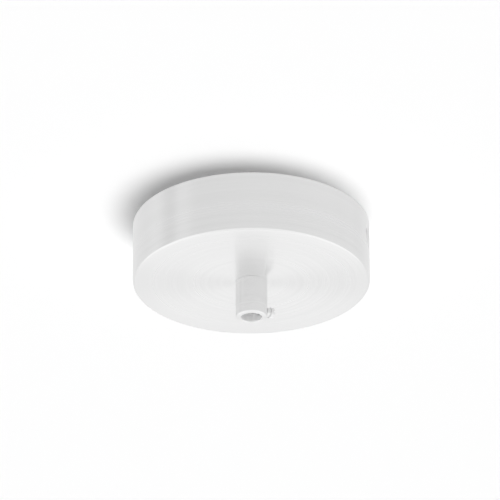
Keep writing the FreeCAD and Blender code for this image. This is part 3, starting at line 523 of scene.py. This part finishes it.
def moulded(name, colour, roughness):
    """Moulded plastic with a fine spark-eroded grain."""
    finish = Finish(name, colour, roughness)
    finish.shader.inputs["Subsurface Weight"].default_value = 0.12
    finish.shader.inputs["Subsurface Radius"].default_value = (1.0, 0.9, 0.75)
    finish.shader.inputs["Subsurface Scale"].default_value = 0.6 * MM
    cloud = finish.noise(finish.place, 160.0)
    grain = finish.noise(finish.place, 6000.0, detail=2.0)
    finish.vary_colour(0.02, cloud)
    finish.vary_roughness(0.05, grain)
    finish.bump(0.006, grain, 0.6)
    return finish.material


FINISHES = {
    "brushed_metal": brushed_metal("brushed_metal"),
    "plated_screw": plated("plated_screw", (0.86, 0.86, 0.86), 0.40),
    "zinc_plate": zinc("zinc_plate", (0.72, 0.73, 0.74), 0.30, 260.0),
    "bracket_steel": zinc("bracket_steel", (0.66, 0.67, 0.68), 0.40, 130.0),
    "bush_plastic": moulded("bush_plastic", (0.86, 0.86, 0.84), 0.38),
    "block_plastic": moulded("block_plastic", (0.86, 0.845, 0.80), 0.42),
    "barrel_brass": plated("barrel_brass", (0.80, 0.62, 0.32), 0.28),
    "earth_brass": plated("earth_brass", (0.78, 0.60, 0.30), 0.30),
    "terminal_steel": plated("terminal_steel", (0.66, 0.66, 0.65), 0.30),
}


def soft_min(first, second, blend):
    """The smaller of two values, with the corner between them rounded over a blend."""
    share = max(blend - abs(first - second), 0) / blend
    return min(first, second) - share * share * blend / 4


def cup_outside(y, reach):
    """X of the cup's outer side near a dimple, at a distance from the dimple's axis."""
    wall = math.sqrt(CUP_RADIUS**2 - y**2)
    return soft_min(wall, CUP_RADIUS - DIMPLE_MOUTH + reach, DIMPLE_LIP)


def cup_inside(y, reach):
    """X of the cup's inner side near a dimple, in the same way."""
    wall = math.sqrt(CUP_INNER**2 - y**2)
    cone = CUP_RADIUS - DIMPLE_MOUTH - CUP_WALL * math.sqrt(2) + reach
    end = CUP_RADIUS - DIMPLE_MOUTH + DIMPLE_HOLE - DIMPLE_LAND
    return max(soft_min(wall, cone, DIMPLE_LIP), end)


def cup_meridian(levels):
    """Stations round the cup's section, and where the dimples' levels start inside and outside."""
    floor = CUP_FACE + CUP_WALL
    bend = (CUP_INNER - CUP_CORNER, floor + CUP_CORNER)
    spread = [CUP_HOLE + (bend[0] - CUP_HOLE) * i / FLAT_STEPS for i in range(FLAT_STEPS)]
    below = [bend[1] + (levels[0] - bend[1]) * i / WALL_STEPS for i in range(1, WALL_STEPS)]
    top = -CUP_RIM_ROUND
    stations = [(radius, floor) for radius in spread]
    stations += arc(bend, CUP_CORNER, -90, 0, CORNER_STEPS)
    stations += [(CUP_INNER, level) for level in below]
    inner_start = len(stations)
    stations += [(CUP_INNER, level) for level in levels]
    stations += arc((CUP_INNER + CUP_RIM_ROUND, top), CUP_RIM_ROUND, 180, 90, RIM_STEPS)
    stations += arc((CUP_RADIUS - CUP_RIM_ROUND, top), CUP_RIM_ROUND, 90, 0, RIM_STEPS)
    outer_start = len(stations)
    stations += [(CUP_RADIUS, level) for level in reversed(levels)]
    stations += [(CUP_RADIUS, level) for level in reversed(below)]
    edge = (CUP_RADIUS - CUP_EDGE, CUP_FACE + CUP_EDGE)
    stations += arc(edge, CUP_EDGE, 0, -90, EDGE_STEPS)
    stations += [(radius, CUP_FACE) for radius in reversed(spread)]
    return stations, inner_start, outer_start


def patch_border():
    """Column and level steps round the square that holds a dimple."""
    steps = range(-PATCH, PATCH)
    border = [(i, -PATCH) for i in steps] + [(PATCH, k) for k in steps]
    return border + [(-i, PATCH) for i in steps] + [(-PATCH, -k) for k in steps]


def make_cup():
    """The drawn cup: a shell about Z with a dimple for each side screw."""
    step = TURN * CUP_RADIUS / CUP_COLUMNS
    levels = [SIDE_AXIS + k * step for k in range(-PATCH, PATCH + 1)]
    stations, inner_start, outer_start = cup_meridian(levels)

    def in_patch(row, column):
        """Whether the face above a station and beside a column belongs to a dimple's square."""
        near = (column + PATCH) % (CUP_COLUMNS // 2) < 2 * PATCH
        return near and any(0 <= row - start < 2 * PATCH for start in (inner_start, outer_start))

    points, faces = [], []
    for row, station in enumerate(stations):
        points += circle(CUP_COLUMNS, *station)
        beyond = (row + 1) % len(stations)
        ring = band(row * CUP_COLUMNS, beyond * CUP_COLUMNS, CUP_COLUMNS)
        faces += [face for column, face in enumerate(ring) if not in_patch(row, column)]
    for side in (1, -1):
        add_dimple(points, faces, side, inner_start, outer_start, step)
    dress(new_piece("cup_shell", points, faces), "rose", "brushed_metal", "canopy_cup")


def add_dimple(points, faces, side, inner_start, outer_start, step):
    """Adds one dimple's rings of faces between its square in the wall and its hole."""
    border = patch_border()
    turns = [math.atan2(k, i) for i, k in border]
    axis_column = 0 if side > 0 else CUP_COLUMNS // 2

    def square(start, climb):
        """The wall's own points round the square, whose rows climb or fall with the levels."""
        rows = [start + PATCH + climb * k for _, k in border]
        columns = [(axis_column + i) % CUP_COLUMNS for i, _ in border]
        return [row * CUP_COLUMNS + column for row, column in zip(rows, columns)]

    def between(share, radius):
        """Places at a share of the way from the square to the circle."""
        for (i, k), turn in zip(border, turns):
            start = Vector((radius * math.sin(i * step / CUP_RADIUS), k * step))
            yield start.lerp(Vector((math.cos(turn), math.sin(turn))) * DIMPLE_CIRCLE, share)

    def around(reach):
        """Places at a reach from the dimple's axis."""
        return [(reach * math.cos(turn), reach * math.sin(turn)) for turn in turns]

    def ring(shape, places):
        """Adds a ring of points at places (y, z), with their X from a shape."""
        start = len(points)
        for y, z in places:
            x = shape(y, math.hypot(y, z))
            points.append((side * x, side * y, SIDE_AXIS + z))
        return list(range(start, len(points)))

    walks = []
    for shape, radius, reaches, start, climb in (
        (cup_outside, CUP_RADIUS, OUTER_RINGS, outer_start, -1),
        (cup_inside, CUP_INNER, INNER_RINGS, inner_start, 1),
    ):
        walk = [square(start, climb)]
        walk += [ring(shape, between(share / 3, radius)) for share in (1, 2, 3)]
        walk += [ring(shape, around(reach)) for reach in reaches]
        walks.append(walk)
    whole = walks[0] + walks[1][::-1]
    for first, second in zip(whole, whole[1:]):
        for n in range(len(border)):
            m = (n + 1) % len(border)
            faces.append((first[n], first[m], second[m], second[n]))


def make_grip():
    """The turned cord grip with its tapped side hole."""
    top, end = GRIP_HIGH.z, GRIP_LOW.z
    # Corners: radius, height and rounding.
    outline = [
        (GRIP_BORE, end + GRIP_EDGE, GRIP_EDGE_ROUND),
        (GRIP_BORE + GRIP_EDGE, end, GRIP_EDGE_ROUND),
        (GRIP_RADIUS - GRIP_EDGE, end, GRIP_EDGE_ROUND),
        (GRIP_RADIUS, end + GRIP_EDGE, GRIP_EDGE_ROUND),
        (GRIP_RADIUS, top, 0.08),
        (GRIP_THREAD, top, 0.1),
        (GRIP_THREAD, NIPPLE_LOW.z, 0.05),
        (GRIP_BORE, NIPPLE_LOW.z, 0.1),
    ]
    piece = turned("grip_tube", divided(rounded(outline), GRIP_FACE), GRIP_COLUMNS)
    hole, out = M4_THREAD + GRIP_SCREW_HOLE, 2 * GRIP_RADIUS
    place = lying(GRIP_SCREW_TURN, GRIP_SCREW_AXIS)
    drill = [(0, 0), (hole, 0), (hole, out), (0, out)]
    cut(piece, turned("cutter", drill, GRIP_SCREW_COLUMNS, place))
    material = brushed_metal("grip_metal", GRIP_BORE + 0.1)
    dress(piece, "rose", "brushed_metal", "cord_grip", material)


def make_grip_screw():
    """The slotted screw in the grip's side, built about Z with its tip down and laid down."""
    tip = GRIP_BORE + GRIP_SCREW_INSET
    shown = GRIP_RADIUS + GRIP_SCREW_SHOWN
    seat = GRIP_RADIUS + GRIP_SCREW_STAND
    end = seat + GRIP_SCREW_CAP
    head = GRIP_SCREW_HEAD
    stations = [(0, tip), (M4_THREAD - GRIP_SCREW_EDGE, tip)]
    stations += [(M4_THREAD, tip + GRIP_SCREW_EDGE), (M4_THREAD, tip + SCREW_EDGE)]
    stations += thread_stations(M4_THREAD, tip + 2 * SCREW_EDGE, shown, M4_PITCH)
    stations += [(M4_NECK, shown + M4_NECK_GAP), (M4_NECK, seat)]
    stations += rounded([(0, seat, 0), (head, seat, 0.1), (head, end, 0.3), (0, end, 0)], 4)[1:]
    place = lying(GRIP_SCREW_TURN, GRIP_SCREW_AXIS)
    piece = turned_screw("grip_clamp_screw", stations, GRIP_SCREW_COLUMNS, place)
    half, wide = SLOT_WIDTH / 2, 2 * head
    cut(piece, box_cutter((-half, -wide, end - SLOT_DEPTH), (half, wide, end + 1), place))
    dress(piece, "grip_screw", "plated_screw", "cord_grip_screw")


def make_side_screw(side):
    """A raised countersunk screw with a tapered cross recess, built about Z and laid along X."""
    name = "right" if side > 0 else "left"
    crown, tip = SIDE_HIGH.x, SIDE_LOW.x
    rim = crown - SIDE_DOME
    neck = rim - (SIDE_HEAD - M4_THREAD)
    stations = [(0, tip), (M4_THREAD - SCREW_EDGE, tip)]
    stations += thread_stations(M4_THREAD, tip + SCREW_EDGE, neck - 2 * M4_NECK_GAP, M4_PITCH)
    stations.append((M4_NECK, neck - M4_NECK_GAP))
    stations += [(SIDE_HEAD - gap, rim - gap) for gap in (SIDE_RIM_FOOT, SIDE_RIM_TOP)]
    ball = (SIDE_HEAD**2 + SIDE_DOME**2) / (2 * SIDE_DOME)
    sweep = math.asin((SIDE_HEAD - SIDE_RIM_TOP) / ball)
    for i in range(SIDE_DOME_STEPS + 1):
        angle = sweep * (1 - i / SIDE_DOME_STEPS)
        stations.append((ball * math.sin(angle), crown - ball * (1 - math.cos(angle))))
    place = lying(0 if side > 0 else math.pi, SIDE_AXIS)
    piece = turned_screw(f"side_fixing_{name}", stations, SIDE_COLUMNS, place)
    cut(piece, cross_cutter(crown, place))
    soften(piece, width=0.05, limit=40)
    dress(piece, f"{name}_side_screw", "plated_screw", f"side_screw_{name}")


def make_cheese_screw(node, body, slot, past, cap, pitch):
    """A slotted cheese-head screw with its head below, on a CAD screw's place."""
    low, high = extent(node)
    head = (high.x - low.x) / 2
    radius = head - past
    seat = low.z + cap
    neck, neck_end = radius - CHEESE_NECK, seat + CHEESE_NECK_LENGTH
    stations = rounded([(0, low.z, 0), (head, low.z, 0.3), (head, seat, 0.12), (0, seat, 0)], 4)
    stations = stations[:-1] + [(neck, seat), (neck, neck_end)]
    start = seat + 2 * CHEESE_NECK_LENGTH
    stations += thread_stations(radius, start, high.z - SCREW_EDGE, pitch)
    stations += [(radius - SCREW_EDGE, high.z), (0, high.z)]
    middle = Vector(((low.x + high.x) / 2, (low.y + high.y) / 2, 0))
    place = Matrix.Translation(middle * MM)
    piece = turned_screw(f"{node}_turned", stations, CHEESE_COLUMNS, place)
    half, wide = SLOT_WIDTH / 2, 2 * head
    cut(piece, box_cutter((-wide, -half, low.z - 1), (wide, half, low.z + SLOT_DEPTH), place))
    dress(piece, body, slot, node)


def make_nipple():
    """The hollow nipple with its fine thread."""
    low, high = NIPPLE_LOW.z, NIPPLE_HIGH.z
    bore, edge = NIPPLE_RADIUS - NIPPLE_WALL, NIPPLE_EDGE
    stations = [(NIPPLE_RADIUS - edge, low)]
    stations += thread_stations(NIPPLE_RADIUS, low + edge, high - edge, M10_PITCH)
    stations += [(NIPPLE_RADIUS - edge, high), (bore, high), (bore, low)]
    piece = turned("nipple_tube", stations, NIPPLE_COLUMNS)
    dress(piece, "rose", "zinc_plate", "threaded_nipple")


def make_softened(node, body, slot, width):
    """A CAD node's own shape with its sharp edges rounded."""
    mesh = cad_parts[node].data.copy()
    shape = bmesh.new()
    shape.from_mesh(mesh)
    bmesh.ops.remove_doubles(shape, verts=shape.verts, dist=2 * MERGE)
    bmesh.ops.dissolve_limit(
        shape,
        angle_limit=FLAT,
        verts=shape.verts,
        edges=shape.edges,
        use_dissolve_boundaries=False,
    )
    shape.to_mesh(mesh)
    shape.free()
    if "custom_normal" in mesh.attributes:
        mesh.attributes.remove(mesh.attributes["custom_normal"])
    piece = link(bpy.data.objects.new(f"{node}_rounded", mesh))
    soften(piece, width)
    dress(piece, body, slot, node)


# The CAD shapes that are kept, with their finish and the width of their rounded edges.
SOFTENED = {
    "flat_washer": ("zinc_plate", 0.1),
    "toothed_washer": ("zinc_plate", 0.06),
    "lock_nut": ("zinc_plate", 0.1),
    "edge_bush": ("bush_plastic", 0.08),
    "ceiling_bracket": ("bracket_steel", 0.15),
    "terminal_block": ("block_plastic", 0.15),
    "live_barrel": ("barrel_brass", 0.12),
    "earth_barrel": ("barrel_brass", 0.12),
    "neutral_barrel": ("barrel_brass", 0.12),
}


def make_inside():
    """Everything inside the cup."""
    make_nipple()
    for node, (slot, width) in SOFTENED.items():
        make_softened(node, "rose", slot, width)
    for pole in ("live", "earth", "neutral"):
        for end in ("outer", "inner"):
            name = f"{pole}_{end}"
            make_cheese_screw(f"{name}_screw", name, "terminal_steel", *TERMINAL_SCREW)
    for side in ("right", "left"):
        make_cheese_screw(f"block_screw_{side}", "rose", "terminal_steel", *BLOCK_SCREW)
    earth = "earth_terminal_screw"
    make_cheese_screw("earth_screw", earth, "earth_brass", *EARTH_SCREW)
    make_softened("earth_clamp_washer", earth, "earth_brass", 0.12)
    make_softened("earth_spring_washer", earth, "terminal_steel", 0.08)


# The ceiling laps over the cup's rim, and reaches far past the picture.
CEILING_LAP = 0.2
CEILING_REACH = 4000
CEILING_COLUMNS = 160
CEILING_PAINT = (0.95, 0.95, 0.95, 1)


def make_ceiling():
    """The ceiling, open over the cup's inside and seen from below alone."""
    columns = CEILING_COLUMNS
    points = circle(columns, CUP_RADIUS - CEILING_LAP, 0) + circle(columns, CEILING_REACH, 0)
    mesh = new_mesh("ceiling", points, band(0, columns, columns))
    ceiling = link(bpy.data.objects.new("ceiling", mesh))
    material = bpy.data.materials.new("ceiling_paint")
    nodes = Nodes(material)
    nodes.tree.nodes.remove(nodes.tree.nodes["Principled BSDF"])
    paint = nodes.node("BsdfDiffuse", (CEILING_PAINT,)).outputs[0]
    clear = nodes.node("BsdfTransparent").outputs[0]
    # From above it is clear, and reflections show the studio in its place.
    above = nodes.node("NewGeometry").outputs["Backfacing"]
    reflected = nodes.node("LightPath").outputs["Is Glossy Ray"]
    through = nodes.maths("MAXIMUM", above, reflected)
    mix = nodes.node("MixShader", (through, paint, clear))
    nodes.tree.links.new(mix.outputs[0], nodes.tree.nodes["Material Output"].inputs["Surface"])
    mesh.materials.append(material)


# The view that was fitted to the photograph: angles, distance and width in metres, and the
# point in the middle of the frame, to the right and up from the row's origin.
VIEW_AZIMUTH = math.radians(8)
VIEW_ELEVATION = math.radians(-26.6)
VIEW_ROLL = math.radians(-0.3)
VIEW_DISTANCE = 2.5
VIEW_WIDTH = 211.7 * MM
VIEW_MIDDLE = (-0.51 * MM, -9.95 * MM, 0)

# The way to the key light. It has two parts: how wide each is in degrees, and its level, where
# 1 makes a white surface that faces it white.
KEY_DIRECTION = (0.234, 0.972, -2.2)
KEY_PARTS = ((36, 0.70), (80, 0.36))
# The level of the even light from below. From above it is 1.
ROOM_LEVEL = 0.08
# What reflections show round the horizon: degrees from the near side, to the right, and level.
STUDIO_RING = (
    (-180, 0.92),
    (-156, 0.89),
    (-122, 0.85),
    (-108, 0.90),
    (-98, 0.88),
    (-90, 0.78),
    (-82, 0.77),
    (-74, 0.90),
    (-66, 0.88),
    (-56, 0.82),
    (0, 0.845),
    (40, 0.85),
    (80, 0.87),
    (100, 0.86),
    (112, 0.88),
    (124, 0.84),
    (140, 0.88),
    (180, 0.92),
)
# What they show more of towards the floor: its level, the height of a direction at which it
# starts, and the heights over which it rises there and falls again straight below.
GLOW_LEVEL = 0.25
GLOW_START = -0.46
GLOW_RISE = 0.10
GLOW_FALL = 0.14


def make_world():
    """The studio: white to the eye, a ring of tones to reflections, and plain as light."""
    world = bpy.data.worlds.new("studio")
    bpy.context.scene.world = world
    nodes = Nodes(world)
    maths = nodes.maths
    path = nodes.node("LightPath").outputs
    x, y, z = nodes.node("SeparateXYZ", (nodes.node("TexCoord").outputs["Generated"],)).outputs
    # Reflections: a ring of tones round the horizon.
    near = (math.sin(VIEW_AZIMUTH), -math.cos(VIEW_AZIMUTH))
    forward = maths("ADD", maths("MULTIPLY", x, near[0]), maths("MULTIPLY", y, near[1]))
    sideways = maths("SUBTRACT", maths("MULTIPLY", y, near[0]), maths("MULTIPLY", x, near[1]))
    turn = maths("MULTIPLY_ADD", maths("ARCTAN2", sideways, forward), 1 / TURN, 0.5)
    ring = nodes.node("ValToRGB", (turn,))
    stops = ring.color_ramp.elements
    for degrees, _ in STUDIO_RING[1:-1]:
        stops.new(degrees / 360 + 0.5)
    for stop, (_, level) in zip(stops, STUDIO_RING):
        stop.color = (level, level, level, 1)
    # It is brighter towards the floor, and plain again straight below.
    rise = maths("MULTIPLY_ADD", z, -1 / GLOW_RISE, GLOW_START / GLOW_RISE)
    fall = maths("MULTIPLY_ADD", z, 1 / GLOW_FALL, 1.0 / GLOW_FALL)
    down = maths("MINIMUM", maths("MAXIMUM", maths("MINIMUM", rise, fall), 0.0), 1.0)
    shade = maths("MULTIPLY_ADD", down, GLOW_LEVEL, ring.outputs[0])
    # Light: full from above, where it reaches the inside of the cup alone, and weaker below.
    above = maths("GREATER_THAN", z, 0.0)
    light = maths("MULTIPLY_ADD", above, 1 - ROOM_LEVEL, ROOM_LEVEL)
    seen = maths("MAXIMUM", path["Is Glossy Ray"], path["Is Transmission Ray"])
    unseen = maths("SUBTRACT", 1.0, seen)
    level = maths("ADD", maths("MULTIPLY", seen, shade), maths("MULTIPLY", unseen, light))
    # The eye: white.
    camera = path["Is Camera Ray"]
    rest = maths("MULTIPLY", maths("SUBTRACT", 1.0, camera), level)
    background = nodes.tree.nodes["Background"]
    nodes.tree.links.new(maths("ADD", camera, rest), background.inputs["Strength"])
    background.inputs["Color"].default_value = (1, 1, 1, 1)


def add_key():
    """The wide soft key light, from below, behind and a little to the right."""
    for width, level in KEY_PARTS:
        data = bpy.data.lights.new("key", "SUN")
        data.angle = math.radians(width)
        data.energy = level * math.pi
        key = link(bpy.data.objects.new("key", data))
        key.rotation_euler = Vector(KEY_DIRECTION).to_track_quat("Z", "Y").to_euler()
        key.visible_glossy = False


def make_camera():
    """The photograph's view: from far away, below the ceiling and a little to the right."""
    towards = Vector(
        (
            math.sin(VIEW_AZIMUTH) * math.cos(VIEW_ELEVATION),
            -math.cos(VIEW_AZIMUTH) * math.cos(VIEW_ELEVATION),
            math.sin(VIEW_ELEVATION),
        )
    )
    data = bpy.data.cameras.new("camera")
    data.sensor_width = 36
    data.lens = data.sensor_width * VIEW_DISTANCE / VIEW_WIDTH
    data.clip_start, data.clip_end = 0.01, 20
    camera = link(bpy.data.objects.new("camera", data))
    turn = towards.to_track_quat("Z", "Y").to_matrix()
    camera.location = turn @ Vector(VIEW_MIDDLE) + towards * VIEW_DISTANCE
    camera.rotation_euler = (turn @ Matrix.Rotation(VIEW_ROLL, 3, "Z")).to_euler()
    bpy.context.scene.camera = camera


make_cup()
make_grip()
make_grip_screw()
make_side_screw(1)
make_side_screw(-1)
make_inside()
make_ceiling()
make_world()
add_key()
make_camera()
bpy.context.scene.view_settings.view_transform = "Standard"
